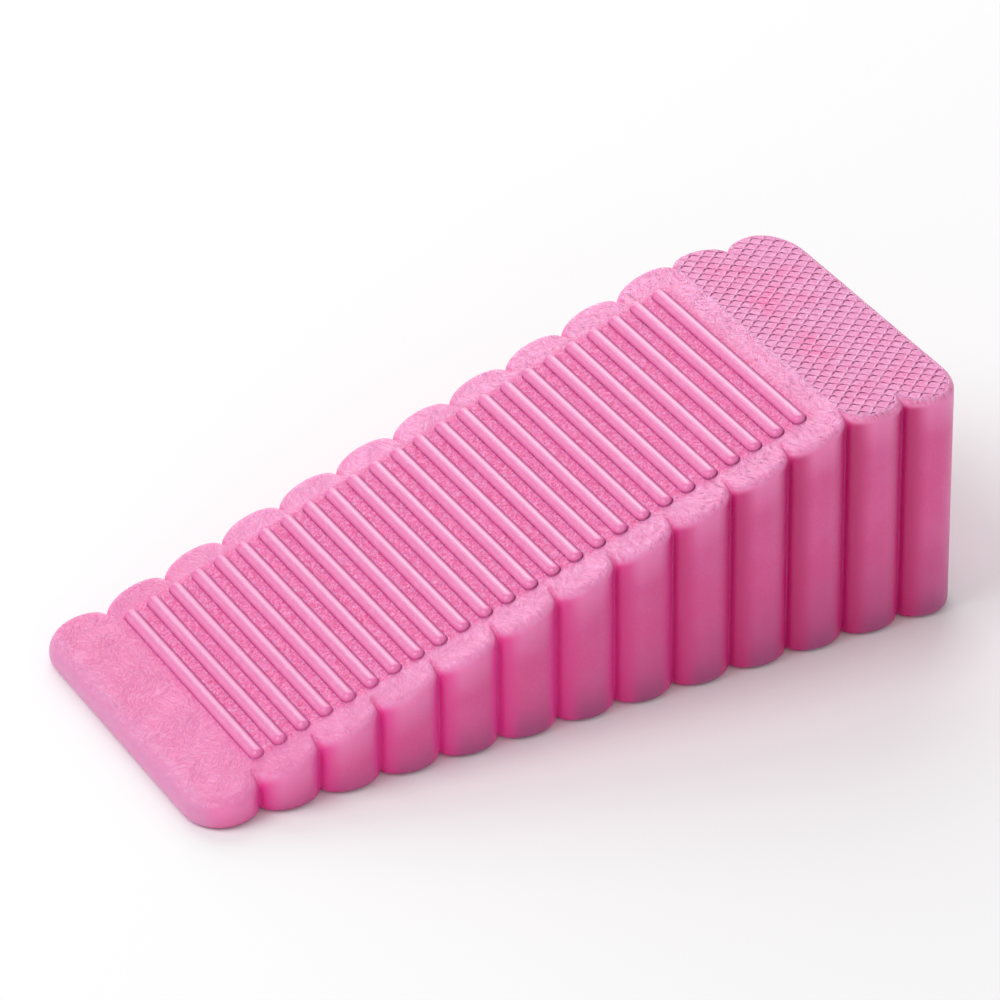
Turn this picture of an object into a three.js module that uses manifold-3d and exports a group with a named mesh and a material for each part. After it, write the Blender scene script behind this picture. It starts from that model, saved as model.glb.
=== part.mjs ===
// Door wedge: a solid soft-plastic ramp with fluted sides, cross ribs on its slope and a level,
// gripped heel. Millimetres, +Z up. The sole lies on z = 0, the thin toe points along -X and
// the thick heel along +X. The origin is the middle of the sole.
import * as THREE from "three";
import { mergeVertices } from "three/addons/utils/BufferGeometryUtils.js";
import Module from "manifold-3d";

// Overall size
const LENGTH = 124;
const WIDTH = 55;
const HEIGHT = 37; // sole to the level heel top

// Flutes: each side is a row of lobes, and the lobes of the two sides face each other. A lobe
// is the crown of an ellipse, cut off by its neighbours just before its flanks turn square.
const LOBE_COUNT = 13;
const LOBE_PITCH = 9.4;
const LOBE_HALF_WIDTH = 4.82;
const LOBE_CROWN = 3.2;
const TOE_CORNER_DEPTH = 6.2; // how far an outer corner's curve reaches in from the side
const HEEL_CORNER_DEPTH = 8;
const EDGE_RADIUS = 1.3; // fillet along the whole top edge

// Slope, as rise per millimetre of length
const RAMP_SLOPE = 1 / 3;
const TOE_SLOPE = 0.2; // the first lobe is flatter than the rest
const HEEL_LOBES = 2; // lobes under the level heel

// Cross ribs, which lie in the plane of the ramp
const RIB_COUNT = 25;
const FIRST_RIB_X = -49.8;
const RIB_PITCH = 3.63; // along the length
const RIB_LENGTH = 42.8;
const RIB_WIDTH = 2.2;
const RIB_PROUD = 0.95; // above the ramp
const RIB_SEAT = 0.8; // below the ramp
const RIB_ROUND = 0.85; // fillet along the rib's crest

// Grip pad, let into the heel top
const PAD_MARGIN = 0.9; // from the wedge's outline in to the pad's
const PAD_THICKNESS = 1.6;

const GAP = 0.3; // clearance between pieces that touch
const SPARE = 5; // how far a blank or a cutter runs past what it meets

// Faceting: straight steps in half a lobe or in a corner, in half a rib's end, and in fillets
const LOBE_STEPS = 4;
const CORNER_STEPS = 5;
const ARC_STEPS = 3;
const EDGE_STEPS = 3;
const RIB_EDGE_STEPS = 2;

// Worked out from the above
const QUARTER = Math.PI / 2;
const HALF_LENGTH = LENGTH / 2;
const HALF_WIDTH = WIDTH / 2;
const LAST_LOBE = LOBE_COUNT - 1;
const FIRST_HEEL_LOBE = LOBE_COUNT - HEEL_LOBES;
const TOE_END_X = lobeX(0.5); // valley between the toe's lobe and the ramp
const HEEL_START_X = lobeX(FIRST_HEEL_LOBE - 0.5);
const RAMP_ANGLE = Math.atan(RAMP_SLOPE);
const VALLEY_ANGLE = Math.asin(LOBE_PITCH / 2 / LOBE_HALF_WIDTH);

// What closes a run of lobes: the half-axes, along X and Y, of its corners' quarter ellipses
const END_REACH = HALF_LENGTH - lobeX(LAST_LOBE);
const TOE_END = { reach: END_REACH, depth: TOE_CORNER_DEPTH };
const HEEL_END = { reach: END_REACH, depth: HEEL_CORNER_DEPTH };
const PAD_END = { reach: LOBE_PITCH / 2 + PAD_MARGIN, depth: LOBE_CROWN };

const wasm = await Module();
wasm.setup();

function plastic(color, roughness) {
  return new THREE.MeshStandardMaterial({ color, roughness, metalness: 0 });
}
const bodyPlastic = plastic(0xf07db0, 0.42);
const ribPlastic = plastic(0xf79cc6, 0.35);
const padPlastic = plastic(0xf59ac2, 0.5);

// Positions and heights

function lobeX(index) {
  return (index - (LOBE_COUNT - 1) / 2) * LOBE_PITCH;
}

function heelHeight() {
  return HEIGHT;
}

function rampHeight(x) {
  return HEIGHT - (HEEL_START_X - x) * RAMP_SLOPE;
}

function toeHeight(x) {
  return rampHeight(TOE_END_X) - (TOE_END_X - x) * TOE_SLOPE;
}

// Solids and geometries

function solidOf(geometry) {
  const bare = geometry.index ? geometry.toNonIndexed() : geometry.clone();
  bare.deleteAttribute("normal");
  bare.deleteAttribute("uv");
  const merged = mergeVertices(bare, 1e-4);
  return new wasm.Manifold(
    new wasm.Mesh({
      numProp: 3,
      vertProperties: merged.attributes.position.array,
      triVerts: new Uint32Array(merged.index.array),
    }),
  );
}

function geometryOf(solid) {
  const mesh = solid.getMesh();
  const geometry = new THREE.BufferGeometry();
  geometry.setAttribute("position", new THREE.BufferAttribute(mesh.vertProperties, 3));
  geometry.setIndex(new THREE.BufferAttribute(mesh.triVerts, 1));
  return geometry;
}

function namedMesh(name, geometry, material) {
  const mesh = new THREE.Mesh(geometry, material);
  mesh.name = name;
  return mesh;
}

// A block over z0 to z1, large enough to trim anything here to those heights.
function slab(z0, z1) {
  const block = new THREE.BoxGeometry(2 * LENGTH, 2 * WIDTH, z1 - z0);
  return solidOf(block.translate(0, 0, (z0 + z1) / 2));
}

// An outline pushed up from z0 to z1 with sharp edges.
function prism(outline, z0, z1) {
  const sharp = new THREE.ExtrudeGeometry(outline, {
    depth: z1 - z0,
    curveSegments: ARC_STEPS,
    bevelEnabled: false,
  });
  return sharp.translate(0, 0, z0);
}

// The same with the top edge rounded over, inside the outline. The bottom edge comes out
// rounded too, so z0 is given low enough for that to be trimmed off.
function roundedPrism(outline, z0, z1, radius, edgeSteps) {
  const rounded = new THREE.ExtrudeGeometry(outline, {
    depth: z1 - z0 - 2 * radius,
    curveSegments: ARC_STEPS,
    bevelThickness: radius,
    bevelSize: radius,
    bevelOffset: -radius,
    bevelSegments: edgeSteps,
  });
  return rounded.translate(0, 0, z0 + radius);
}

// Half a lobe from its crest to its valley, measured from the middle of the crest before inset
// moves it in. Past the ellipse an inset flank runs on straight, and meets its neighbour's.
function lobeHalf(inset) {
  const half = [];
  const normal = new THREE.Vector2();
  for (let step = 0; step <= LOBE_STEPS; step++) {
    const angle = (VALLEY_ANGLE * step) / LOBE_STEPS;
    const x = LOBE_HALF_WIDTH * Math.sin(angle);
    const y = LOBE_CROWN * (Math.cos(angle) - 1);
    normal.set(Math.sin(angle) / LOBE_HALF_WIDTH, Math.cos(angle) / LOBE_CROWN).normalize();
    half.push(new THREE.Vector2(x, y).addScaledVector(normal, -inset));
  }
  const valley = LOBE_CROWN * (Math.cos(VALLEY_ANGLE) - 1) - inset / normal.y;
  if (inset > 0) half.push(new THREE.Vector2(LOBE_PITCH / 2, valley));
  return half;
}

// The same for a half that a corner takes up: a quarter of the corner's own ellipse.
function cornerHalf(end, inset) {
  const half = [];
  for (let step = 0; step <= CORNER_STEPS; step++) {
    const angle = (QUARTER * step) / CORNER_STEPS;
    const x = (end.reach - inset) * Math.sin(angle);
    half.push(new THREE.Vector2(x, (end.depth - inset) * Math.cos(angle) - end.depth));
  }
  return half;
}

// Outline of the lobes from first to last, seen from above and drawn anticlockwise, so the far
// side runs from heel to toe and the near side back again. inset moves it in all round.
function lobedOutline(first, last, toeEnd, heelEnd, inset = 0) {
  const far = [];
  for (let index = last; index >= first; index--) {
    const heelHalf = index === last ? cornerHalf(heelEnd, inset) : lobeHalf(inset);
    const toeHalf = index === first ? cornerHalf(toeEnd, inset) : lobeHalf(inset);
    const x = lobeX(index);
    if (index < last) heelHalf.pop(); // the valley is already there
    for (const point of heelHalf.reverse())
      far.push(new THREE.Vector2(x + point.x, HALF_WIDTH + point.y));
    for (const point of toeHalf.slice(1))
      far.push(new THREE.Vector2(x - point.x, HALF_WIDTH + point.y));
  }
  const near = far.map((point) => new THREE.Vector2(point.x, -point.y)).reverse();
  return new THREE.Shape([...far, ...near]);
}

// The whole outline under one flat top, its foot left hanging below the floor.
function lobedBlank(heightAt) {
  const outline = lobedOutline(0, LAST_LOBE, TOE_END, HEEL_END);
  const blank = roundedPrism(outline, -3 * SPARE, 0, EDGE_RADIUS, EDGE_STEPS);
  const point = blank.attributes.position;
  for (let i = 0; i < point.count; i++) {
    const z = point.getZ(i);
    if (z > -SPARE) point.setZ(i, z + heightAt(point.getX(i)));
  }
  return solidOf(blank);
}

function flutedSolid() {
  return lobedBlank(rampHeight)
    .add(lobedBlank(toeHeight))
    .intersect(lobedBlank(heelHeight))
    .intersect(slab(0, HEIGHT + SPARE));
}

// A rib has half-round ends. It is drawn lying across the origin, the ramp's surface at z = 0.
function ribOutline(clearance) {
  const radius = RIB_WIDTH / 2 + clearance;
  const endY = (RIB_LENGTH - RIB_WIDTH) / 2;
  const outline = new THREE.Shape();
  outline.absarc(0, endY, radius, 0, Math.PI);
  outline.absarc(0, -endY, radius, Math.PI, 2 * Math.PI);
  return outline;
}

function ribGeometry() {
  const rounded = roundedPrism(
    ribOutline(0),
    -RIB_SEAT - SPARE,
    RIB_PROUD,
    RIB_ROUND,
    RIB_EDGE_STEPS,
  );
  return geometryOf(solidOf(rounded).intersect(slab(-RIB_SEAT, RIB_PROUD + SPARE)));
}

function placeOnRamp(object, index) {
  const x = FIRST_RIB_X + index * RIB_PITCH;
  object.position.set(x, 0, rampHeight(x));
  object.rotation.y = -RAMP_ANGLE;
  return object;
}

function ribSlot(index) {
  const place = placeOnRamp(new THREE.Object3D(), index);
  place.updateMatrix();
  const slot = prism(ribOutline(GAP), -RIB_SEAT - GAP, SPARE);
  return solidOf(slot.applyMatrix4(place.matrix));
}

function padOutline(inset) {
  return lobedOutline(FIRST_HEEL_LOBE, LAST_LOBE, PAD_END, HEEL_END, inset);
}

// Pieces

function wedgeBody() {
  const padSeat = HEIGHT - PAD_THICKNESS - GAP;
  const recess = prism(padOutline(PAD_MARGIN - GAP), padSeat, HEIGHT + SPARE);
  let body = flutedSolid().subtract(solidOf(recess));
  for (let i = 0; i < RIB_COUNT; i++) body = body.subtract(ribSlot(i));
  return namedMesh("wedge_body", geometryOf(body), bodyPlastic);
}

function rampRibs() {
  const ribs = new THREE.Group();
  const geometry = ribGeometry();
  for (let i = 0; i < RIB_COUNT; i++) {
    const name = `ramp_rib_${String(i + 1).padStart(2, "0")}`;
    ribs.add(placeOnRamp(namedMesh(name, geometry, ribPlastic), i));
  }
  return ribs;
}

function heelGripPad() {
  const pad = prism(padOutline(PAD_MARGIN), HEIGHT - PAD_THICKNESS, HEIGHT);
  return namedMesh("heel_grip_pad", pad, padPlastic);
}

const wedge = new THREE.Group();
wedge.add(wedgeBody(), rampRibs(), heelGripPad());

export default wedge;
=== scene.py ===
"""Looks of the fluted door wedge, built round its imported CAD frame. Metres, +Z up.

The wedge is one kind of soft, translucent pink plastic. Its body is a stack of rings that follow
the lobed outline, closed by a fine triangulation of the slope. The ribs stand in slots cut into
that slope, and the heel pad carries a net of crossed grooves.
"""
import math

import bpy
import numpy as np
from mathutils import Matrix, Vector
from mathutils.geometry import delaunay_2d_cdt


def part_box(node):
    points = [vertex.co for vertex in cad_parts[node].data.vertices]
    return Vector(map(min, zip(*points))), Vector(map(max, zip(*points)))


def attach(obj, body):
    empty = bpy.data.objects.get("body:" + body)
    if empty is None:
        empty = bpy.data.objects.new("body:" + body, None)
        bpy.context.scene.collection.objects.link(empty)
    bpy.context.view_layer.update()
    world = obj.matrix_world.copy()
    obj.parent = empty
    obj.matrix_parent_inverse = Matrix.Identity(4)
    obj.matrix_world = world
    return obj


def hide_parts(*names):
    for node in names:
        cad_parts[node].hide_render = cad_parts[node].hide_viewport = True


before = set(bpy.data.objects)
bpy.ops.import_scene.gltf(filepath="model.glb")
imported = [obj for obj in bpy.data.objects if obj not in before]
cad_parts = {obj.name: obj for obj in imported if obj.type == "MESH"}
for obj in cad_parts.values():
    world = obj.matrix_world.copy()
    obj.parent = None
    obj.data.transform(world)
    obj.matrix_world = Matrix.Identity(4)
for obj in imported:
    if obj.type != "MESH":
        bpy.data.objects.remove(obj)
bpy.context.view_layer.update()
MM = 0.001
QUARTER = math.pi / 2

# ---------------------------------------------------------------- sizes

BODY = "wedge_body"
PAD = "heel_grip_pad"
RIBS = sorted(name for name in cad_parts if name.startswith("ramp_rib_"))
ROOT = "root"

# From the frame
body_low, body_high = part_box(BODY)
pad_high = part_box(PAD)[1]
rib_boxes = [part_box(name) for name in RIBS]
HALF_LENGTH = body_high.x
HALF_WIDTH = body_high.y
HEIGHT = pad_high.z
PAD_INSET = HALF_WIDTH - pad_high.y
RIB_HALF_LENGTH = rib_boxes[0][1].y
first_rib, last_rib = ((low + high) / 2 for low, high in (rib_boxes[0], rib_boxes[-1]))
RAMP_SLOPE = (last_rib.z - first_rib.z) / (last_rib.x - first_rib.x)
RAMP_ANGLE = math.atan(RAMP_SLOPE)

# Lobes of the outline, each the crown of an ellipse
LOBE_COUNT = 13
HEEL_LOBES = 2
LOBE_PITCH = 9.4 * MM
LOBE_HALF_WIDTH = 4.82 * MM
LOBE_CROWN = 3.2 * MM
VALLEY_REACH = 2.9 * MM  # the most that a valley's crease runs in over the rounded top edge
TOE_CORNER_DEPTH = 6.2 * MM
HEEL_CORNER_DEPTH = 8 * MM
TOE_SLOPE = 0.2
TOE_FILLET = 1.9 * MM  # the rounded top edge gets tighter from the toe to the heel
HEEL_FILLET = 1.0 * MM
SOLE_FILLET = 1.3 * MM
RIM_BAND = 0.2 * MM  # level band between the fillet and the triangulated top

# Ribs, and the slots that they stand in
RIB_HALF_WIDTH = 1.0 * MM
RIB_PROUD = 0.82 * MM
RIB_SEAT = 0.12 * MM
RIB_FLARE = 0.12 * MM  # how far the foot spreads into the ramp
SLOT_GAP = 0.02 * MM
SLOT_DEPTH = 0.15 * MM
SLOT_LIP = 0.05 * MM

# Heel pad and its net of grooves
PAD_PROUD = 0.02 * MM
PAD_RIM_DROP = 0.05 * MM
RECESS_DEPTH = 0.18 * MM
NET_X = 2.63 * MM  # long diagonal of a diamond, along the wedge
NET_Y = 2.27 * MM  # short diagonal, across it
NET_SPACING = 1 / math.hypot(1 / NET_X, 1 / NET_Y)  # between two grooves of a family
GROOVE_HALF = 0.2 * MM
GROOVE_DEPTH = 0.08 * MM

LAST_LOBE = LOBE_COUNT - 1
VALLEY_ANGLE = math.asin(LOBE_PITCH / 2 / LOBE_HALF_WIDTH)


def lobe_x(index):
    """X of a lobe's crest; a half index is the valley between two lobes."""
    return (index - LAST_LOBE / 2) * LOBE_PITCH


TOE_END_X = lobe_x(0.5)
HEEL_START_X = lobe_x(LOBE_COUNT - HEEL_LOBES - 0.5)
END_REACH = HALF_LENGTH - lobe_x(LAST_LOBE)
TOE_BLEND = 0.5 * MM  # half the length over which the toe's slope turns into the ramp's


def top_height(x):
    """Height of the top over x: the flatter toe, the ramp, then the level heel."""
    ramp = HEIGHT - (HEEL_START_X - x) * RAMP_SLOPE
    toe_start = HEIGHT - (HEEL_START_X - TOE_END_X) * RAMP_SLOPE
    toe = toe_start - (TOE_END_X - x) * TOE_SLOPE
    near = np.maximum(0, TOE_BLEND - np.abs(x - TOE_END_X))
    blend = near * near * (RAMP_SLOPE - TOE_SLOPE) / (4 * TOE_BLEND)
    return np.minimum(HEIGHT, np.maximum(toe, ramp) + blend)


# ---------------------------------------------------------------- outlines

LOBE_STEPS = 14  # straight steps in half a lobe or in a corner
END_STEPS = 30  # along a flat end


def resampled(line, steps):
    """A line's points replaced by steps + 1 points the same distance apart."""
    lengths = np.concatenate(([0], np.cumsum(np.hypot(*np.diff(line, axis=0).T))))
    places = np.linspace(0, lengths[-1], steps + 1)
    return np.column_stack([np.interp(places, lengths, line[:, axis]) for axis in (0, 1)])


def lobe_half(inset):
    """Half a lobe from crest to valley, from the crest's x. Inset, the flank runs on inwards."""
    angle = np.linspace(0, VALLEY_ANGLE, 4 * LOBE_STEPS)[:, None]
    side = np.hstack((np.sin(angle), np.cos(angle)))
    line = side * (LOBE_HALF_WIDTH, LOBE_CROWN) + (0, HALF_WIDTH - LOBE_CROWN)
    normal = side / (LOBE_HALF_WIDTH, LOBE_CROWN)
    normal /= np.hypot(*normal.T)[:, None]
    reach = VALLEY_REACH * math.tanh(inset / normal[-1, 1] / VALLEY_REACH)
    valley = (LOBE_PITCH / 2, line[-1, 1] - reach)
    return resampled(np.vstack((line - inset * normal, valley)), LOBE_STEPS)


def corner_half(inset, depth):
    """The same for a half that an outer corner takes up: a quarter of the corner's ellipse."""
    angle = np.linspace(0, QUARTER, LOBE_STEPS + 1)[:, None]
    reach = (END_REACH - inset, depth - inset)
    return np.hstack((np.sin(angle), np.cos(angle))) * reach + (0, HALF_WIDTH - depth)


def far_side(inset, first, corners):
    """The far side of the lobes from the last to the first, as rows of x and y.

    corners is the depth of the heel's and of the toe's outer corner, None for a plain lobe.
    """
    halves = []
    for index in range(LAST_LOBE, first - 1, -1):
        ends = (index == LAST_LOBE, index == first)
        for sign, end, depth in zip((1, -1), ends, corners):
            half = corner_half(inset, depth) if end and depth else lobe_half(inset)
            half = half * (sign, 1) + (lobe_x(index), 0)
            halves.append(half[::-1] if sign > 0 else half[1:])
        if index > first:
            halves[-1] = halves[-1][:-1]  # the valley belongs to the next lobe
    return np.concatenate(halves)


def closed(far):
    """A far side, its mirror image and the two flat ends, anticlockwise seen from above."""
    near = far[::-1] * (1, -1)
    share = np.linspace(0, 1, END_STEPS + 1)[1:-1, None]
    toe_end = far[-1] + (near[0] - far[-1]) * share
    heel_end = near[-1] + (far[0] - near[-1]) * share
    return np.concatenate((far, toe_end, near, heel_end))


def outline(inset, drop=0.0):
    """The whole outline moved in square to itself, then with its sides moved in by drop."""
    far = far_side(inset, 0, (HEEL_CORNER_DEPTH, TOE_CORNER_DEPTH)) - (0, drop)
    line = closed(far)
    line[:, 0] *= 1 - drop / (HALF_LENGTH - inset) * (np.abs(line[:, 0]) > lobe_x(LAST_LOBE))
    return line


def pad_outline(inset):
    """The heel lobes' outline, cut off square where the heel starts."""
    line = closed(far_side(inset, LOBE_COUNT - HEEL_LOBES, (HEEL_CORNER_DEPTH, None)))
    line[:, 0] = np.maximum(line[:, 0], HEEL_START_X)
    return line


def stadium(half_width, half_length, arc_steps=16, side_steps=30):
    """A straight bar across X with half-round ends, anticlockwise."""
    straight = half_length - half_width
    turn = np.linspace(0, math.pi, arc_steps + 1)
    arc = np.column_stack((half_width * np.cos(turn), straight + half_width * np.sin(turn)))
    run = np.linspace(straight, -straight, side_steps + 1)[1:-1]
    half = np.concatenate((arc, np.column_stack((np.full(len(run), -half_width), run))))
    return np.concatenate((half, -half))


# ---------------------------------------------------------------- meshes


def make_piece(name, vertices, faces):
    mesh = bpy.data.meshes.new(name)
    mesh.from_pydata(vertices.tolist(), [], faces)
    mesh.polygons.foreach_set("use_smooth", [True] * len(mesh.polygons))
    mesh.validate()
    mesh.update()
    piece = bpy.data.objects.new(name, mesh)
    bpy.context.scene.collection.objects.link(piece)
    return piece


def store(piece, name, values):
    """Keep one number for each vertex, for the piece's material to read."""
    kept = piece.data.attributes.new(name, "FLOAT", "POINT")
    kept.data.foreach_set("value", np.asarray(values, dtype=np.float32))


def ring_faces(start, count, rings):
    """Quads between rings of count vertices, the first of which is at start."""
    faces = []
    for ring in range(rings - 1):
        low = start + ring * count
        for i in range(count):
            j = (i + 1) % count
            faces.append((low + i, low + j, low + count + j, low + count + i))
    return faces


def lift(points, height):
    """Points in plan raised to a height, one for all or one for each."""
    return np.column_stack((points, np.broadcast_to(height, len(points))))


def rounded_edge(radius, steps):
    """(inset, distance from the flat) pairs from the side of a rounded edge to its flat."""
    angles = np.linspace(0, QUARTER, steps + 1)
    return [(radius * (1 - math.cos(a)), radius * (1 - math.sin(a))) for a in angles]


def on_ramp(points, index):
    """Points drawn about the origin with the ramp as z = 0, moved to one rib's place."""
    middle = sum(rib_boxes[index], Vector()) / 2
    rise = (middle.z - float(top_height(middle.x))) * math.cos(RAMP_ANGLE)
    x = middle.x + rise * math.sin(RAMP_ANGLE)
    place = Matrix.Translation((x, 0, float(top_height(x))))
    matrix = np.array(place @ Matrix.Rotation(-RAMP_ANGLE, 4, "Y"))
    return points @ matrix[:3, :3].T + matrix[:3, 3]


def triangulate(rim, holes, loose, lines):
    """Triangles inside rim and outside the holes, with the loose points and lines as well.

    Returns the points in plan, the triangles, and where each given point went.
    """
    loops = [rim, *holes]
    starts = np.cumsum([0] + [len(loop) for loop in loops])
    owned = [list(range(a, b)) for a, b in zip(starts[:-1], starts[1:])]
    given = [Vector(p / MM) for loop in (*loops, loose) for p in loop]
    edges = []
    for line in lines:
        edges.append((len(given), len(given) + 1))
        given.extend(Vector(p / MM) for p in line)
    points, _, tris, origin, _, owners = delaunay_2d_cdt(given, edges, owned, 1, 1e-5)
    index_of = {old: new for new, olds in enumerate(origin) for old in olds}
    kept = [tuple(t) for t, own in zip(tris, owners) if list(own) == [0]]
    return np.array([p[:] for p in points]) * MM, kept, index_of


def clear_of(points, line, distance):
    """Which points are at least a distance from every point of a line."""
    gaps = points[:, None, :] - line[None, :, :]
    return np.min(np.hypot(gaps[..., 0], gaps[..., 1]), axis=1) > distance


def inside(points, polygon):
    """Which points are inside a closed polygon."""
    x, y = points[:, :1], points[:, 1:]
    x0, y0 = polygon.T
    x1, y1 = np.roll(polygon, -1, axis=0).T
    spans = (y0 > y) != (y1 > y)
    with np.errstate(divide="ignore", invalid="ignore"):
        crossing = spans & (x < (x1 - x0) * (y - y0) / (y1 - y0) + x0)
    return crossing.sum(axis=1) % 2 == 1


# ---------------------------------------------------------------- body

SOLE_ROWS = 4
WALL_ROWS = 10
FILLET_ROWS = 10
TOP_SPACING = 1.2 * MM  # between the loose points of the triangulated top
TUCK = 0.1 * MM  # how far the body stays out of the pad's edge


def toe_share(x):
    """1 at the toe's end, 0 at the heel's, for the size of the rounded top edge."""
    return (HALF_LENGTH - x) / (2 * HALF_LENGTH)


def edge_ring(share, band=0.0):
    """The outline moved in by a share of the rounded top edge's own size at each point."""
    weight = toe_share(outline(0)[:, :1])
    toe, heel = (outline(radius * share, band) for radius in (TOE_FILLET, HEEL_FILLET))
    return heel + (toe - heel) * weight


def sunk_height(points, inset=math.inf):
    """Height of the top, or of the pad's recess where the heel is further in than the pad."""
    height = top_height(points[:, 0])
    in_recess = (points[:, 0] > HEEL_START_X + TUCK) & (inset > PAD_INSET + TUCK)
    return np.where(in_recess, HEIGHT - RECESS_DEPTH, height)


def body_rings():
    """Rings of the outline from the sole, up the walls and over the rounded top edge."""
    rings = []
    for inset, rise in reversed(rounded_edge(SOLE_FILLET, SOLE_ROWS)):
        rings.append(lift(outline(inset), rise))
    edge = outline(0)
    radius = HEEL_FILLET + (TOE_FILLET - HEEL_FILLET) * toe_share(edge[:, 0])
    wall_top = top_height(edge[:, 0]) - radius
    for share in np.linspace(0, 1, WALL_ROWS + 1)[1:]:
        rings.append(lift(edge, SOLE_FILLET + (wall_top - SOLE_FILLET) * share))
    for inset, drop in rounded_edge(1, FILLET_ROWS)[1:]:
        line = edge_ring(inset)
        rings.append(lift(line, sunk_height(line, inset * radius) - drop * radius))
    return rings


def slot_rings():
    """A rib's slot in the ramp's own plane: its mouth, its rounded lip, its wall and its floor."""
    rings = []
    for grown, drop in ((2, 0), (1, 0), (0.3, 0.3), (0, 1), (0, SLOT_DEPTH / SLOT_LIP)):
        extra = RIB_FLARE + SLOT_GAP + grown * SLOT_LIP
        line = stadium(RIB_HALF_WIDTH + extra, RIB_HALF_LENGTH + extra)
        rings.append(lift(line, -drop * SLOT_LIP))
    return rings


def crease_lines(rim):
    """Lines straight across the top along its two creases, from one valley to the other."""
    lines = []
    for x in (TOE_END_X, HEEL_START_X):
        y = rim[np.argsort(np.abs(rim[:, 0] - x))[0], 1]
        steps = np.linspace(-abs(y), abs(y), round(2 * abs(y) / TOP_SPACING) + 1)
        places = [np.array((x, step)) for step in steps]
        lines += list(zip(places[:-1], places[1:]))
    return lines


def loose_top_points(rim, mouths, lines):
    """A staggered grid of points over the top, off its rim, the slots and the creases."""
    xs = np.arange(-HALF_LENGTH, HALF_LENGTH, TOP_SPACING)
    ys = np.arange(-HALF_WIDTH, HALF_WIDTH, TOP_SPACING)
    grid_x, grid_y = np.meshgrid(xs, ys)
    grid_x = grid_x + (np.arange(len(ys)) % 2)[:, None] * TOP_SPACING / 2
    points = np.column_stack((grid_x.ravel(), grid_y.ravel()))
    points = points[inside(points, rim)]
    for line in (rim, *mouths, np.concatenate(lines)):
        points = points[clear_of(points, line, TOP_SPACING / 2)]
    for mouth in mouths:
        points = points[~inside(points, mouth)]
    return points


def make_body():
    """Sole, walls, rounded top edge and slope, with the ribs' slots and the pad's recess."""
    rings = body_rings()
    count = len(rings[0])
    faces = [tuple(reversed(range(count)))] + ring_faces(0, count, len(rings))
    rim = edge_ring(1, RIM_BAND)
    slots = [[on_ramp(ring, i) for ring in slot_rings()] for i in range(len(RIBS))]
    mouths = [slot[0][:, :2] for slot in slots]
    lines = crease_lines(rim)
    loose = loose_top_points(rim, mouths, lines)
    points, triangles, index_of = triangulate(rim, mouths, loose, lines)

    top = len(rings) * count
    faces += [tuple(top + i for i in t) for t in triangles]
    for i in range(count):
        j = (i + 1) % count
        low = top - count
        faces.append((low + i, low + j, top + index_of[j], top + index_of[i]))

    # Each slot goes down from its mouth's vertices
    vertices = [*rings, lift(points, sunk_height(points))]
    total, given = top + len(points), count
    for slot in slots:
        size, pit = len(slot[0]), slot[1:]
        for i in range(size):
            j = (i + 1) % size
            mouth = (top + index_of[given + i], top + index_of[given + j])
            faces.append((*mouth, total + j, total + i))
        faces += ring_faces(total, size, len(pit))
        faces.append(tuple(range(total + (len(pit) - 1) * size, total + len(pit) * size)))
        vertices.extend(pit)
        total += len(pit) * size
        given += size
    vertices = np.concatenate(vertices)
    piece = make_piece("body_moulding", vertices, faces)
    store(piece, "drop", np.maximum(0, top_height(vertices[:, 0]) - vertices[:, 2]) / MM)
    return piece


# ---------------------------------------------------------------- ribs

RIB_ROWS = 12
RIB_CREST = 0.02 * MM  # half the flat left along the crest


def make_rib(index):
    """A low bar, half an ellipse across, with half-round ends and a flared foot in its slot."""
    profile = [(-RIB_FLARE, -RIB_SEAT), (-RIB_FLARE, 0), (-0.3 * RIB_FLARE, 0.35 * RIB_FLARE)]
    for inset, drop in rounded_edge(1, RIB_ROWS):
        inset = min(inset * RIB_HALF_WIDTH, RIB_HALF_WIDTH - RIB_CREST)
        profile.append((inset, RIB_PROUD - drop * (RIB_PROUD - RIB_FLARE)))
    rings = []
    for inset, rise in profile:
        line = stadium(RIB_HALF_WIDTH - inset, RIB_HALF_LENGTH - inset)
        rings.append(lift(line, rise))
    count = len(rings[0])
    last = (len(rings) - 1) * count
    faces = [tuple(reversed(range(count)))] + ring_faces(0, count, len(rings))
    faces.append(tuple(range(last, last + count)))
    vertices = np.concatenate(rings)
    piece = make_piece(f"rib_{index + 1:02d}", on_ramp(vertices, index), faces)
    store(piece, "rise", np.clip(vertices[:, 2] / RIB_PROUD, 0, 1))
    store(piece, "across", vertices[:, 0] / RIB_HALF_WIDTH)
    store(piece, "to_end", (RIB_HALF_LENGTH - np.abs(vertices[:, 1])) / MM)
    return piece


# ---------------------------------------------------------------- heel pad

GROOVE_LINES = (-1, -0.6, 0, 0.6, 1)  # mesh lines across a groove, as shares of its half
FIELD_EDGE = 0.15 * MM  # plain band round the net
GROOVE_CREASE = math.radians(20)  # steeper edges of the grooves are shaded sharp


def groove_share(points):
    """How deep in the net of grooves points are, seen from above, from 0 to 1."""
    share = np.zeros(len(points))
    for sign in (1, -1):
        phase = points[:, 0] / NET_X + sign * points[:, 1] / NET_Y
        away = np.abs(phase - np.round(phase)) * NET_SPACING / GROOVE_HALF
        share = np.maximum(share, np.clip(1.3 * (1 - away), 0, 1))
    return share


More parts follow.
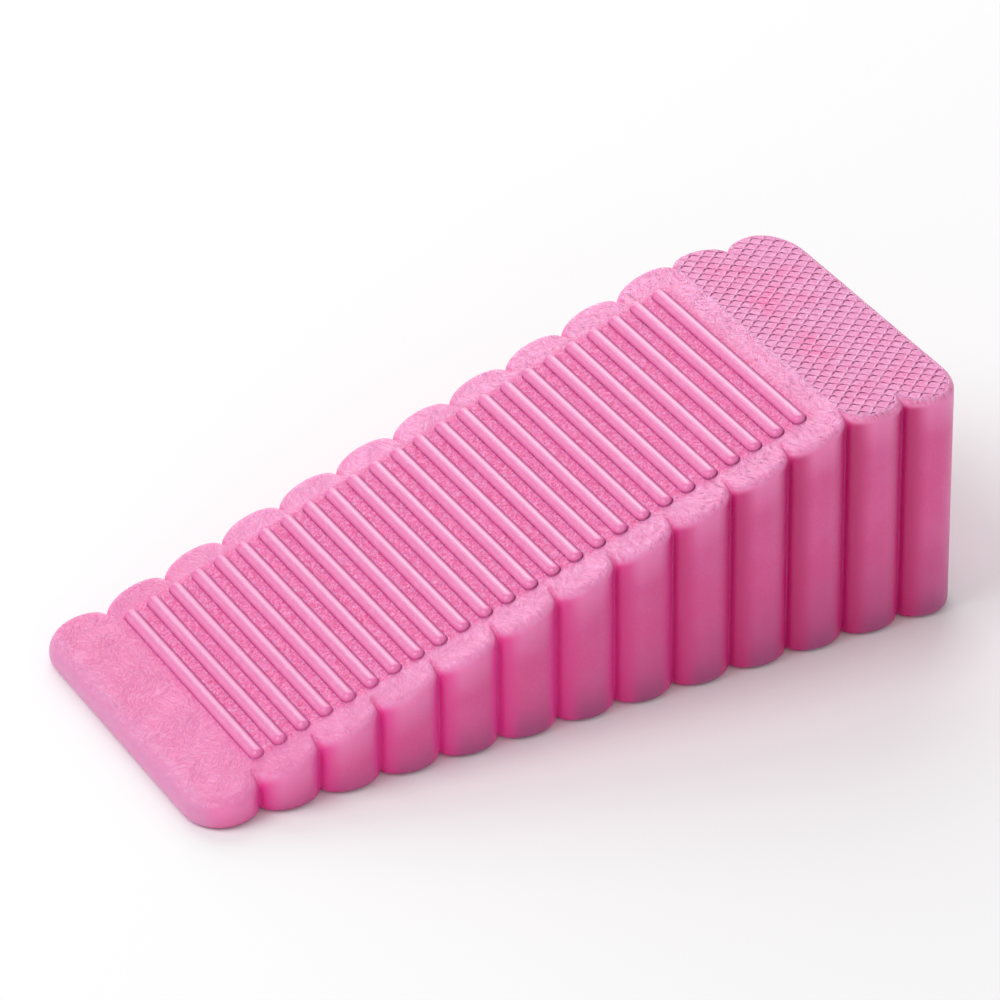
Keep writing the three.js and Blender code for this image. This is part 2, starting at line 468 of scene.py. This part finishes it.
def net_lines(low, high):
    """Long straight lines, as pairs of ends, for the two families of grooves."""
    wave = np.array((1 / NET_X, 1 / NET_Y))
    corners = np.array([(x, y) for x in (low[0], high[0]) for y in (low[1], high[1])])
    reach, middle = np.hypot(*(high - low)), (low + high) / 2
    lines = []
    for family in (wave, wave * (1, -1)):
        phase = corners @ family
        across = family * NET_SPACING
        along = np.array((-across[1], across[0]))
        for step in range(math.floor(phase.min()), math.ceil(phase.max()) + 1):
            for share in GROOVE_LINES:
                place = step * NET_SPACING + share * GROOVE_HALF
                foot = middle + across * (place - middle @ across)
                lines.append((foot - along * reach, foot + along * reach))
    return lines


def clipped(lines, polygon):
    """The stretches of straight lines that are inside a closed polygon."""
    start, end = polygon, np.roll(polygon, -1, axis=0)
    kept = []
    for a, b in lines:
        along, edge, gap = b - a, end - start, start - a
        with np.errstate(divide="ignore", invalid="ignore"):
            bottom = along[0] * edge[:, 1] - along[1] * edge[:, 0]
            t = (gap[:, 0] * edge[:, 1] - gap[:, 1] * edge[:, 0]) / bottom
            u = (gap[:, 0] * along[1] - gap[:, 1] * along[0]) / bottom
        hits = np.sort(t[(u >= 0) & (u < 1) & (t > 0) & (t < 1)])
        for t0, t1 in zip(hits[:-1:2], hits[1::2]):
            kept.append((a + along * t0, a + along * t1))
    return kept


def make_pad():
    """The heel pad: crossed grooves over its top, and a plain side down in its recess."""
    rim = pad_outline(PAD_INSET)
    field = pad_outline(PAD_INSET + FIELD_EDGE)
    field[:, 0] = np.maximum(field[:, 0], HEEL_START_X + FIELD_EDGE)
    keep = np.hypot(*(rim - np.roll(rim, 1, axis=0)).T) > 1e-7
    rim, field = rim[keep], field[keep]
    lines = clipped(net_lines(rim.min(axis=0), rim.max(axis=0)), field)
    points, triangles, index_of = triangulate(rim, [], np.empty((0, 2)), lines)
    height = HEIGHT + PAD_PROUD - GROOVE_DEPTH * groove_share(points)
    edge = [index_of[i] for i in range(len(rim))]
    height[edge] = HEIGHT + PAD_PROUD - PAD_RIM_DROP
    top = lift(points, height)
    count, base = len(rim), len(points)
    faces = list(triangles)
    for i in range(count):
        j = (i + 1) % count
        faces.append((base + i, base + j, index_of[j], index_of[i]))
    faces.append(tuple(reversed(range(base, base + count))))
    vertices = np.concatenate((top, lift(rim, HEIGHT - RECESS_DEPTH + TUCK / 2)))
    piece = make_piece("heel_grip", vertices, faces)
    piece.data.set_sharp_from_angle(angle=GROOVE_CREASE)
    from_rim = np.min(np.hypot(*(vertices[:, None, :2] - rim).transpose(2, 0, 1)), axis=1)
    store(piece, "edge", from_rim / MM)
    return piece


# ---------------------------------------------------------------- materials

# Linear colours of the plastic
PALE_PINK = (0.75, 0.098, 0.360, 1)
DEEP_PINK = (0.74, 0.064, 0.303, 1)
FIELD_BOUNCE_PINK = (0.97, 0.17, 0.48, 1)  # between the ribs, a brighter, more saturated pink: painted bounce light
MARGIN_SHEEN_PINK = (0.89, 0.31, 0.59, 1)  # paler round them: a painted sheen
LIGHT_STROKE = (0.96, 0.46, 0.74, 1)
DARK_STROKE = (0.70, 0.15, 0.38, 1)
FIELD_STROKE = (0.99, 0.42, 0.67, 1)
TOE_SHEEN_PINK = (0.70, 0.250, 0.48, 1)  # the thin front end, paler with a painted sheen
RIM_PINK = (0.88, 0.26, 0.51, 1)  # round the heel's skin
RIB_PINK = (0.88, 0.25, 0.51, 1)
# painted sheen on the rib's crest
RIB_CREST_SHEEN_PINK = (0.76, 0.25, 0.50, 1)
# painted highlight along each rib's crest
RIB_HIGHLIGHT_PINK = (0.80, 0.49, 0.71, 1)
RIB_FAR_SHADE_PINK = (0.56, 0.08, 0.28, 1)  # painted shade on the flank that faces the heel
# painted shade on the rib's rounded ends
RIB_END_SHADE_PINK = (0.84, 0.15, 0.43, 1)
# painted shade at the rib's foot
RIB_FOOT_SHADE_PINK = (0.72, 0.06, 0.33, 1)
SCUFF_AND_SHADE_PINK = (0.30, 0.02, 0.12, 1)  # dark scuffs on the margins, and painted shade in the corner round a rib's foot and end
CREASE_SHADE_PINK = (0.84, 0.09, 0.36, 1)  # painted shade along a valley's crease where it runs in over the top
VALLEY_SHADE_PINK = (0.82, 0.04, 0.34, 1)  # painted shade where two lobes meet, near the toe and near the heel
# deeper painted shade in the valleys towards the heel
DARK_VALLEY_SHADE_PINK = (0.60, 0.003, 0.19, 1)
EDGE_GLOW_PINK = (0.92, 0.25, 0.55, 1)  # a painted glow round the thin top edge, for the light it lets through
WALL_FOOT_SHADE_PINK = (0.58, 0.062, 0.265, 1)  # painted shade low down on the walls
# painted shade along the sole of the tall walls
SOLE_SHADE_PINK = (0.36, 0.055, 0.20, 1)
MARK_PINK = (0.74, 0.055, 0.23, 1)  # dirt held by the pitted field
PLATE_PINK = (0.79, 0.225, 0.49, 1)  # the heel between its grooves
BLOTCH_PINK = (0.84, 0.12, 0.38, 1)
LIP_HIGHLIGHT_AND_STREAK_PINK = (0.94, 0.52, 0.76, 1)  # pale streaks, and the painted highlight on one lip of each groove
# painted shade in the grooves of the heel's net
GROOVE_SHADE_PINK = (0.24, 0.015, 0.10, 1)

PLASTIC_IOR_LEVEL = 0.8
GRIP_IOR_LEVEL = 0.5  # the heel's skin is duller
SCATTER = 0.7 * MM  # how far light reaches inside the body
SCATTER_BY_COLOUR = (1.0, 0.3, 0.5)  # red goes furthest

# Material textures, in millimetres and noise cells for each millimetre
GRAIN_PER_MM = 3.4  # the moulding's finest grain, on body and ribs alike
SPECKLE_PER_MM = 3.1
CLOUDS_PER_MM = 0.11
STROKE_SWIRL = 4.5  # how far the strokes wander
WRINKLE_SWIRL = 9.0
STEEP_TURN = math.radians(-20)  # the main family of strokes on the margins
FLAT_TURN = math.radians(28)
WRINKLE_TURN = math.radians(17)
GRIP_TURN = math.radians(-45)
FLANK_START, FLANK_END = 21.9, 22.6  # from the middle, where the lobes' flanks begin
TOE_FACE_START, TOE_FACE_END = -58.5, -61.3  # the thin end's rounded face


def shader(name, ior_level=PLASTIC_IOR_LEVEL, scatter=0.0):
    """A new material, its node tree and its shader; scatter is the light's reach inside it."""
    material = bpy.data.materials.new(name)
    material.use_nodes = True
    bsdf = material.node_tree.nodes["Principled BSDF"]
    bsdf.inputs["Specular IOR Level"].default_value = ior_level
    if scatter:
        bsdf.inputs["Subsurface Weight"].default_value = 1.0
        bsdf.inputs["Subsurface Radius"].default_value = SCATTER_BY_COLOUR
        bsdf.inputs["Subsurface Scale"].default_value = scatter
    return material, material.node_tree, bsdf


def add(tree, kind, inputs, output=0, **settings):
    """A new node's output, with its inputs set to numbers or linked to other sockets."""
    made = tree.nodes.new("ShaderNode" + kind)
    for name, value in settings.items():
        setattr(made, name, value)
    for key, value in inputs.items():
        if isinstance(value, bpy.types.NodeSocket):
            tree.links.new(value, made.inputs[key])
        else:
            made.inputs[key].default_value = value
    return made.outputs[output]


def millimetres(tree):
    """Object coordinates in millimetres, and their three parts."""
    metres = add(tree, "TexCoord", {}, output="Object")
    place = add(tree, "VectorMath", {0: metres, 1: (1 / MM,) * 3}, operation="MULTIPLY")
    apart = tree.nodes.new("ShaderNodeSeparateXYZ")
    tree.links.new(place, apart.inputs[0])
    return place, *apart.outputs


def attribute(tree, name):
    return add(tree, "Attribute", {}, output="Fac", attribute_name=name)


def maths(tree, operation, first, second=0.0):
    return add(tree, "Math", {0: first, 1: second}, operation=operation)


def product(tree, *factors):
    total = factors[0]
    for factor in factors[1:]:
        total = maths(tree, "MULTIPLY", total, factor)
    return total


def total_of(tree, *parts):
    total = parts[0]
    for part in parts[1:]:
        total = maths(tree, "ADD", total, part)
    return total


def ramp(tree, value, low, high, start=0.0, end=1.0):
    """A smooth step from start to end while a value goes from low to high."""
    inputs = {"Value": value, "From Min": low, "From Max": high, "To Min": start, "To Max": end}
    return add(tree, "MapRange", inputs, interpolation_type="SMOOTHSTEP")


def noise(tree, place, per_mm, detail, distortion=0.0):
    inputs = {"Vector": place, "Scale": per_mm, "Detail": detail, "Distortion": distortion}
    return add(tree, "TexNoise", inputs)


def blend(tree, share, first, second):
    """Two colours mixed by a share."""
    return add(tree, "Mix", {0: share, 6: first, 7: second}, output=2, data_type="RGBA")


def stretched(tree, place, turn, scale):
    """Coordinates turned about Z, then scaled differently along their own X and Y."""
    turned = add(tree, "Mapping", {"Vector": place, "Rotation": (0, 0, turn)})
    return add(tree, "VectorMath", {0: turned, 1: scale}, operation="MULTIPLY")


def relief(tree, bsdf, height):
    """Bump the surface by a height in millimetres."""
    bump = add(tree, "Bump", {"Height": height, "Distance": MM, "Strength": 1.0})
    tree.links.new(bump, bsdf.inputs["Normal"])


def mottled_pink(tree, place):
    """The plastic's own colour: soft clouds, and a fine speckle in it."""
    clouds = ramp(tree, noise(tree, place, CLOUDS_PER_MM, 2), 0.3, 0.7)
    speckle = ramp(tree, noise(tree, place, SPECKLE_PER_MM, 2), 0.3, 0.7, -0.3, 0.3)
    return blend(tree, total_of(tree, clouds, speckle), DEEP_PINK, PALE_PINK)


def swirled(tree, place, reach):
    """Coordinates pushed about by slow noise, so that streaks in them wander."""
    push = add(tree, "TexNoise", {"Vector": place, "Scale": 0.16, "Detail": 1.0}, output="Color")
    push = add(tree, "VectorMath", {0: push, 1: (0.5,) * 3}, operation="SUBTRACT")
    push = add(tree, "VectorMath", {0: push, 1: (reach,) * 3}, operation="MULTIPLY")
    return add(tree, "VectorMath", {0: place, 1: push}, operation="ADD")


def creases(tree, place, per_mm, detail, distortion=0.0):
    """Thin wandering lines, from 0 to 1 along their middles."""
    level = noise(tree, place, per_mm, detail, distortion)
    away = maths(tree, "ABSOLUTE", maths(tree, "SUBTRACT", level, 0.5))
    return ramp(tree, away, 0.07, 0.0)


def strokes(tree, place, turn, across, along):
    """Fine short strokes that wander, darker towards 0 and lighter towards 1."""
    swirl = swirled(tree, place, STROKE_SWIRL)
    return noise(tree, stretched(tree, swirl, turn, (across, along, 1)), 1.0, 3)


def top_masks(tree, x, y, drop):
    """Where the body's top is: its pitted field between the ribs, and its scuffed margins."""
    across = maths(tree, "ABSOLUTE", y)
    width = ramp(tree, across, RIB_HALF_LENGTH / MM + 0.9, RIB_HALF_LENGTH / MM - 0.7)
    start = ramp(tree, x, first_rib.x / MM - 2.6, first_rib.x / MM - 0.4)
    end = ramp(tree, x, last_rib.x / MM + 2.6, last_rib.x / MM + 0.8)
    top = ramp(tree, drop, 1.2, 0.25)
    field = product(tree, width, start, end, top)
    margin = product(tree, top, maths(tree, "SUBTRACT", 1.0, field))
    return field, margin


def valley_shade_share(tree, x, y, drop):
    """How far down between two lobes a point of the walls is, as the share of painted shade there.
    """
    last = lobe_x(LAST_LOBE) / MM
    from_crest = maths(tree, "PINGPONG", x, LOBE_PITCH / MM / 2)
    wider = ramp(tree, x, -40.0, 20.0, 0.1, 0.75)
    depth = ramp(tree, total_of(tree, from_crest, wider), 1.9, 4.5)
    flank = ramp(tree, maths(tree, "ABSOLUTE", y), FLANK_START, FLANK_END)
    lobed = ramp(tree, maths(tree, "ABSOLUTE", x), last + 0.3, last)
    wall = ramp(tree, drop, 0.1, 1.6)
    return product(tree, depth, flank, lobed, wall)


def crease_shade_share(tree, x, y, drop):
    """Where the valleys' creases run in over the rounded top edge, for their painted shade."""
    line = ramp(tree, maths(tree, "PINGPONG", x, LOBE_PITCH / MM / 2), 4.15, 4.65)
    side = ramp(tree, maths(tree, "ABSOLUTE", y), RIB_HALF_LENGTH / MM + 0.4, 23.6)
    from_middle = maths(tree, "ABSOLUTE", x)
    lobed = ramp(tree, from_middle, lobe_x(LAST_LOBE) / MM, lobe_x(LAST_LOBE - 1) / MM)
    return product(tree, line, side, lobed, ramp(tree, drop, 2.5, 1.0, 0.0, 0.7))


def stroked(tree, colour, level, share, light, dark):
    """A colour with light and dark strokes over it."""
    colour = blend(tree, product(tree, ramp(tree, level, 0.50, 0.68), share), colour, light)
    return blend(tree, product(tree, ramp(tree, level, 0.50, 0.32), share), colour, dark)


def wall_colour(tree, place, x, y, z, drop):
    """Pink that is darker towards the sole and deeper in the valleys, both painted shade, and
    paler at the top edge, a painted glow; the toe's face gets a painted sheen.
    """
    colour = mottled_pink(tree, place)
    # painted shade: the walls darker towards the sole
    wall = ramp(tree, drop, 0.6, 1.8)
    low = ramp(tree, maths(tree, "DIVIDE", z, total_of(tree, z, drop)), 0.55, 0.0)
    colour = blend(tree, product(tree, low, wall), colour, WALL_FOOT_SHADE_PINK)
    # painted shade: a darker band along the sole where the walls are tall
    sole = product(tree, ramp(tree, z, 6.0, 0.4, 0.0, 0.65), ramp(tree, drop, 6.0, 18.0))
    colour = blend(tree, sole, colour, SOLE_SHADE_PINK)
    # painted glow: paler pink just under the top edge
    glow = product(tree, ramp(tree, drop, 7.0, 0.3), ramp(tree, drop, 0.0, 0.4), 0.78)
    colour = blend(tree, glow, colour, EDGE_GLOW_PINK)
    # painted shade in the valleys between the lobes, darker towards the heel
    valley = blend(tree, ramp(tree, x, -20.0, 40.0), VALLEY_SHADE_PINK, DARK_VALLEY_SHADE_PINK)
    colour = blend(tree, valley_shade_share(tree, x, y, drop), colour, valley)
    # painted sheen on the thin end's rounded face
    toe_face = ramp(tree, x, TOE_FACE_START, TOE_FACE_END, 0.0, 0.9)
    return blend(tree, toe_face, colour, TOE_SHEEN_PINK)


def top_colour(tree, place, x, y, drop, field, margin, colour):
    """The walls' colour made paler with a painted sheen and streaked on the margins, given painted
    bounce light and mottled between the ribs, with painted shade in the valleys' creases.
    """
    from_toe = ramp(tree, x, TOE_END_X / MM - 3, TOE_END_X / MM + 30, 0.45, 1.0)
    # painted bounce light: the field between the ribs made a brighter, more saturated pink
    colour = blend(tree, product(tree, field, 0.85), colour, FIELD_BOUNCE_PINK)
    # painted sheen: the margins made paler, more so away from the toe
    colour = blend(tree, product(tree, margin, from_toe, 0.85), colour, MARGIN_SHEEN_PINK)
    # painted shade in the valleys' creases
    colour = blend(tree, crease_shade_share(tree, x, y, drop), colour, CREASE_SHADE_PINK)
    on_heel = product(tree, ramp(tree, x, HEEL_START_X / MM, HEEL_START_X / MM + 1), margin)
    colour = blend(tree, on_heel, colour, RIM_PINK)
    steeper = strokes(tree, place, STEEP_TURN, 3.0, 0.8)
    flatter = strokes(tree, place, FLAT_TURN, 3.0, 1.1)
    flat = ramp(tree, drop, 0.7, 0.1, 0.3, 1.0)
    share = product(tree, margin, flat, ramp(tree, x, -50.0, 20.0, 0.22, 0.6))
    colour = stroked(tree, colour, steeper, share, LIGHT_STROKE, DARK_STROKE)
    colour = stroked(tree, colour, flatter, product(tree, share, 0.4), LIGHT_STROKE, DARK_STROKE)
    scratch = product(tree, ramp(tree, steeper, 0.38, 0.28), share, ramp(tree, x, -10.0, 30.0))
    colour = blend(tree, scratch, colour, SCUFF_AND_SHADE_PINK)
    blots = noise(tree, place, 2.0, 4, 0.8)
    spread = product(tree, field, 0.65)
    colour = stroked(tree, colour, flatter, product(tree, spread, 0.5), FIELD_STROKE, MARK_PINK)
    return stroked(tree, colour, blots, spread, FIELD_STROKE, MARK_PINK)


def body_plastic():
    """Soft plastic: pitted between the ribs, wrinkled on the margins, with painted shade deeper in
    the valleys.
    """
    material, tree, bsdf = shader("body_plastic", scatter=SCATTER)
    place, x, y, z = millimetres(tree)
    drop = attribute(tree, "drop")
    field, margin = top_masks(tree, x, y, drop)
    colour = wall_colour(tree, place, x, y, z, drop)
    colour = top_colour(tree, place, x, y, drop, field, margin, colour)
    tree.links.new(colour, bsdf.inputs["Base Color"])

    grain = noise(tree, place, GRAIN_PER_MM, 2)
    pits = ramp(tree, noise(tree, place, 1.5, 4, 1.2), 0.35, 0.65)
    streaked = stretched(tree, swirled(tree, place, WRINKLE_SWIRL), WRINKLE_TURN, (1.0, 0.45, 1))
    height = total_of(
        tree,
        product(tree, grain, 0.03),
        product(tree, pits, field, 0.12),
        product(tree, creases(tree, streaked, 1.3, 3, 0.4), margin, -0.05),
        product(tree, noise(tree, streaked, 1.9, 3), margin, 0.12),
    )
    relief(tree, bsdf, height)
    rough = total_of(tree, ramp(tree, grain, 0.3, 0.7, 0.34, 0.44), product(tree, field, 0.08))
    tree.links.new(rough, bsdf.inputs["Roughness"])
    return material


def rib_plastic():
    """The same plastic with a painted highlight along each rib, and painted shade on its heel-side
    flank, at its foot and round its ends.
    """
    material, tree, bsdf = shader("rib_plastic")
    place, x, _, _ = millimetres(tree)
    rise = attribute(tree, "rise")
    across = attribute(tree, "across")
    to_end = attribute(tree, "to_end")
    # painted shade: the rib's heel-side flank darker
    far = ramp(tree, across, 0.35, 0.8)
    # painted sheen: the crest a less red, whiter pink than the toe-side flank
    crest = blend(tree, ramp(tree, across, -0.5, 0.0), RIB_PINK, RIB_CREST_SHEEN_PINK)
    colour = blend(tree, far, crest, RIB_FAR_SHADE_PINK)
    # painted highlight: a pale band just past the crest, stronger towards the heel
    band = product(tree, ramp(tree, across, 0.0, 0.25), ramp(tree, across, 0.52, 0.36))
    highlight_share = product(tree, band, ramp(tree, x, -50.0, 0.0, 0.15, 0.8))
    colour = blend(tree, highlight_share, colour, RIB_HIGHLIGHT_PINK)
    # painted shade: a deeper pink over the rib's rounded ends
    cap = ramp(tree, to_end, 2.0, 0.7, 0.0, 0.8)
    colour = blend(tree, cap, colour, RIB_END_SHADE_PINK)
    colour = blend(tree, 0.15, colour, mottled_pink(tree, place))
    # painted shade: darker low on the rib, most on its toe-side flank
    foot = product(tree, ramp(tree, rise, 0.3, 0.0), ramp(tree, across, 0.9, -0.2, 0.3, 1.0))
    colour = blend(tree, foot, colour, RIB_FOOT_SHADE_PINK)
    from_toe = ramp(tree, x, -50.0, 5.0, 0.3, 1.0)
    low = ramp(tree, rise, 0.4, 0.15)
    stronger = ramp(tree, across, -1.0, 0.6, 0.5, 1.0)
    # painted shade: a dark arc in the corner round the rib's ends, heaviest on the heel side and
    # towards the heel
    arc = product(tree, ramp(tree, to_end, 1.5, 0.9), from_toe, low, stronger)
    colour = blend(tree, arc, colour, SCUFF_AND_SHADE_PINK)
    # painted shade, broken into specks, along the rib's toe-side foot
    specks = ramp(tree, noise(tree, place, 1.6, 2), 0.52, 0.62, 0.0, 0.7)
    seam = product(tree, specks, ramp(tree, rise, 0.3, 0.1), ramp(tree, across, -0.6, -0.9))
    colour = blend(tree, product(tree, seam, from_toe), colour, SCUFF_AND_SHADE_PINK)
    streaks = strokes(tree, place, 0.0, 3.0, 0.6)
    colour = stroked(tree, colour, streaks, 0.15, LIGHT_STROKE, DARK_STROKE)
    tree.links.new(colour, bsdf.inputs["Base Color"])
    marks = noise(tree, stretched(tree, place, 0, (1.2, 0.2, 1.2)), 1.0, 2)
    grain = noise(tree, place, GRAIN_PER_MM, 2)
    relief(tree, bsdf, total_of(tree, product(tree, marks, 0.01), product(tree, grain, 0.02)))
    rough = total_of(tree, ramp(tree, rise, 0.7, 0.98, 0.42, 0.14), product(tree, marks, 0.12))
    tree.links.new(rough, bsdf.inputs["Roughness"])
    return material


def groove_marks(tree, phase, below, wobble):
    """Painted shade in one family of grooves, and the painted highlight on the lip beyond it.

    phase is whole along the middle of each groove, and grows across it; below goes from 0
    to 1 along a groove, from one crossing down to the next.
    """
    off = add(tree, "Math", {0: phase, 1: 0.5, 2: -0.5}, operation="WRAP")
    off = total_of(tree, product(tree, off, NET_SPACING / MM), wobble)
    away = maths(tree, "ABSOLUTE", off)
    # painted shade: dark strokes that taper from each crossing down the groove
    tapered = total_of(tree, away, product(tree, below, 0.42))
    # painted highlight on the lip on one side of the groove
    lip = product(tree, ramp(tree, off, 0.14, 0.24), ramp(tree, off, 0.42, 0.28))
    return ramp(tree, tapered, 0.40, 0.17), lip


def net_marks(tree, place, x, y):
    """The painted shade and the painted lip highlights of both families of grooves."""
    wobble = product(tree, maths(tree, "SUBTRACT", noise(tree, place, 1.3, 2), 0.5), 0.3)
    along = maths(tree, "DIVIDE", x, NET_X / MM)
    across = maths(tree, "DIVIDE", y, NET_Y / MM)
    rising, falling = (maths(tree, way, across, along) for way in ("ADD", "SUBTRACT"))
    marks = []
    for phase, other in ((rising, falling), (falling, rising)):
        below = maths(tree, "FRACT", product(tree, other, -1.0))
        marks.append(groove_marks(tree, phase, below, wobble))
    groove_shade = maths(tree, "MAXIMUM", marks[0][0], product(tree, marks[1][0], 0.9))
    lip = maths(tree, "MAXIMUM", product(tree, marks[0][1], 0.6), marks[1][1])
    return groove_shade, lip


def grip_plastic():
    """The heel's skin: clouded plates with painted highlights on their lips, and painted shade in
    the grooves between them.
    """
    material, tree, bsdf = shader("grip_plastic", ior_level=GRIP_IOR_LEVEL)
    place, x, y, _ = millimetres(tree)
    groove_shade, lip = net_marks(tree, place, x, y)
    edge = attribute(tree, "edge")
    inside_net = ramp(tree, edge, 0.05, 0.35)
    blotches = ramp(tree, noise(tree, place, 0.12, 2), 0.42, 0.62)
    blotches = product(tree, blotches, ramp(tree, edge, 1.0, 7.0, 0.1, 1.0))
    colour = blend(tree, blotches, PLATE_PINK, BLOTCH_PINK)
    streaks = strokes(tree, place, GRIP_TURN, 3.0, 1.0)
    colour = stroked(tree, colour, streaks, 0.4, LIP_HIGHLIGHT_AND_STREAK_PINK, DARK_STROKE)
    # painted highlight on one lip of each groove, made patchy
    highlight_share = ramp(tree, noise(tree, place, 1.1, 3), 0.35, 0.65, 0.2, 0.9)
    colour = blend(tree, product(tree, lip, inside_net, highlight_share), colour, LIP_HIGHLIGHT_AND_STREAK_PINK)
    # painted shade in the grooves, made patchy
    shade_patches = ramp(tree, noise(tree, place, 0.8, 3), 0.3, 0.6, 0.45, 1.0)
    groove_shade = product(tree, groove_shade, shade_patches, inside_net)
    colour = blend(tree, groove_shade, colour, GROOVE_SHADE_PINK)
    tree.links.new(colour, bsdf.inputs["Base Color"])
    grain = noise(tree, place, 2.6, 3)
    relief(tree, bsdf, product(tree, grain, 0.08))
    rough = total_of(tree, ramp(tree, grain, 0.3, 0.7, 0.36, 0.48), product(tree, groove_shade, 0.2))
    tree.links.new(rough, bsdf.inputs["Roughness"])
    return material


# ---------------------------------------------------------------- build


def place_piece(piece, node, material):
    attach(piece, ROOT)
    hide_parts(node)
    piece.data.materials.append(material)


place_piece(make_body(), BODY, body_plastic())
rib_look = rib_plastic()
for index, node in enumerate(RIBS):
    place_piece(make_rib(index), node, rib_look)
place_piece(make_pad(), PAD, grip_plastic())

# ---------------------------------------------------------------- scene

VIEW_AZIMUTH = math.radians(-27.7)
VIEW_ELEVATION = math.radians(31.57)
VIEW_ROLL = -0.0121
VIEW_DISTANCE = 0.913
VIEW_LENS = 228.3
AIM = Vector((0.42, 1.13, 21.34)) * MM

FLOOR_HALF = 3.0
FLOOR_GREY = (0.94, 0.94, 0.94, 1)
SKY_RADIANCE = 0.5
LIGHT_DISTANCE = 1.2
# Each softbox: its name, the way to it, its width and its radiance
SOFTBOXES = (
    ("back_softbox", (0.25, 0.75, 0.5), 1.15, 2.0),
    ("left_softbox", (-0.6, 0.12, 0.8), 0.9, 3.2),
    ("front_softbox", (-0.3, -0.9, 0.35), 0.9, 0.85),
)


def make_camera():
    back = Vector((
        math.sin(VIEW_AZIMUTH) * math.cos(VIEW_ELEVATION),
        -math.cos(VIEW_AZIMUTH) * math.cos(VIEW_ELEVATION),
        math.sin(VIEW_ELEVATION),
    ))
    data = bpy.data.cameras.new("camera")
    data.lens = VIEW_LENS
    camera = bpy.data.objects.new("camera", data)
    bpy.context.scene.collection.objects.link(camera)
    facing = back.to_track_quat("Z", "Y").to_matrix().to_4x4()
    place = Matrix.Translation(AIM + back * VIEW_DISTANCE)
    camera.matrix_world = place @ facing @ Matrix.Rotation(VIEW_ROLL, 4, "Z")
    bpy.context.scene.camera = camera


def make_floor():
    mesh = bpy.data.meshes.new("floor")
    half = FLOOR_HALF
    corners = [(-half, -half, 0), (half, -half, 0), (half, half, 0), (-half, half, 0)]
    mesh.from_pydata(corners, [], [(0, 1, 2, 3)])
    floor = bpy.data.objects.new("floor", mesh)
    bpy.context.scene.collection.objects.link(floor)
    material, _, bsdf = shader("pale_floor", ior_level=0.1)
    bsdf.inputs["Base Color"].default_value = FLOOR_GREY
    bsdf.inputs["Roughness"].default_value = 0.9
    floor.data.materials.append(material)


def softbox(name, towards, size, radiance):
    """A round light of a given width and radiance, facing the wedge from one side."""
    data = bpy.data.lights.new(name, "AREA")
    data.shape = "DISK"
    data.size = size
    data.energy = radiance * math.pi * math.pi * size * size / 4
    light = bpy.data.objects.new(name, data)
    bpy.context.scene.collection.objects.link(light)
    direction = Vector(towards).normalized()
    light.location = direction * LIGHT_DISTANCE
    light.rotation_mode = "QUATERNION"
    light.rotation_quaternion = direction.to_track_quat("Z", "Y")


def make_world(radiance):
    world = bpy.data.worlds.new("studio")
    bpy.context.scene.world = world
    world.use_nodes = True
    background = world.node_tree.nodes["Background"]
    background.inputs["Color"].default_value = (1, 1, 1, 1)
    background.inputs["Strength"].default_value = radiance


make_camera()
make_floor()
make_world(SKY_RADIANCE)
for box in SOFTBOXES:
    softbox(*box)
bpy.context.scene.view_settings.view_transform = "Standard"
